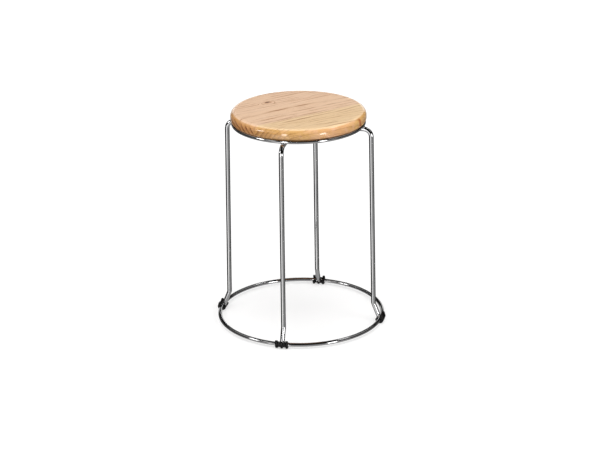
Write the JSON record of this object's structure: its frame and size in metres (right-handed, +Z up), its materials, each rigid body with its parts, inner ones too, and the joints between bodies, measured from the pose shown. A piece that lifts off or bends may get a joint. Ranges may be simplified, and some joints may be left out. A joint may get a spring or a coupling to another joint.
{
  "type": "stacking stool",
  "caption": "Round wooden seat on a welded chromed rod frame with straight legs, a floor ring and clip-on ribbed foot sleeves; stacks by sliding over a like stool.",
  "frame": {"origin": "on the floor, under the middle of the seat", "axes": "+Z up; the legs stand on the axes, with the right leg on +X and the back leg on +Y"},
  "size_m": [0.364, 0.364, 0.46],
  "materials": {
    "seat_wood": "clear varnished solid wood, satin to gloss",
    "chromed_rod": "bright chrome plated steel rod",
    "tab_steel": "chrome plated with the frame",
    "screw_steel": "zinc plated steel",
    "foot_plastic": "black moulded soft plastic"
  },
  "bodies": {
    "root": {"seat": "seat_wood", "seat_ring": "chromed_rod", "floor_ring": "chromed_rod", "leg_frame_left_right": "chromed_rod", "leg_frame_front_back": "chromed_rod", "seat_tab_back_right": "tab_steel", "seat_tab_back_left": "tab_steel", "seat_tab_front_left": "tab_steel", "seat_tab_front_right": "tab_steel", "seat_screw_back_right": "screw_steel", "seat_screw_back_left": "screw_steel", "seat_screw_front_left": "screw_steel", "seat_screw_front_right": "screw_steel", "foot_sleeve_right": "foot_plastic", "foot_sleeve_back": "foot_plastic", "foot_sleeve_left": "foot_plastic", "foot_sleeve_front": "foot_plastic"}
  },
  "joints": []
}
